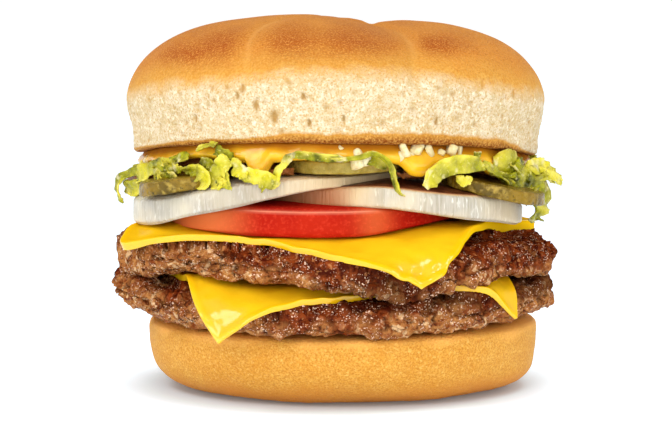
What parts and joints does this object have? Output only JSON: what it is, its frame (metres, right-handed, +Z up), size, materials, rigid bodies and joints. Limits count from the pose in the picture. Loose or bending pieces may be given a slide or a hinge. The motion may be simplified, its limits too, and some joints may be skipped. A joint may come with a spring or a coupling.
{
  "type": "hamburger",
  "caption": "Double cheeseburger on a round bun, with onion, tomato, pickle, lettuce and sauce between the crown and the patties.",
  "frame": {"origin": "on the surface that the burger stands on, under the middle of the bun", "axes": "+Z up, and the side with the hanging cheese corners, the front, faces -Y"},
  "size_m": [0.1083, 0.1128, 0.0907],
  "materials": {
    "bread": "soft baked crust, matt to satin, over a pale open crumb",
    "beef": "seared ground beef, rough with wet glints",
    "cheese": "soft melted slice, smooth with a low sheen",
    "tomato": "wet skin and cut flesh",
    "onion": "raw, moist, a little clear",
    "pickle": "wet, dark skin and paler flesh",
    "lettuce": "crisp thin leaf, satin",
    "sauce": "thick and glossy"
  },
  "bodies": {
    "root": {"bun_heel": "bread", "bun_top": "bread", "patty_lower": "beef", "patty_upper": "beef", "cheese_lower": "cheese", "cheese_upper": "cheese", "tomato": "tomato", "onion_right": "onion", "onion_left": "onion", "pickle_left": "pickle", "pickle_middle": "pickle", "pickle_right": "pickle", "pickle_back": "pickle", "lettuce": "lettuce", "sauce": "sauce"}
  },
  "joints": []
}
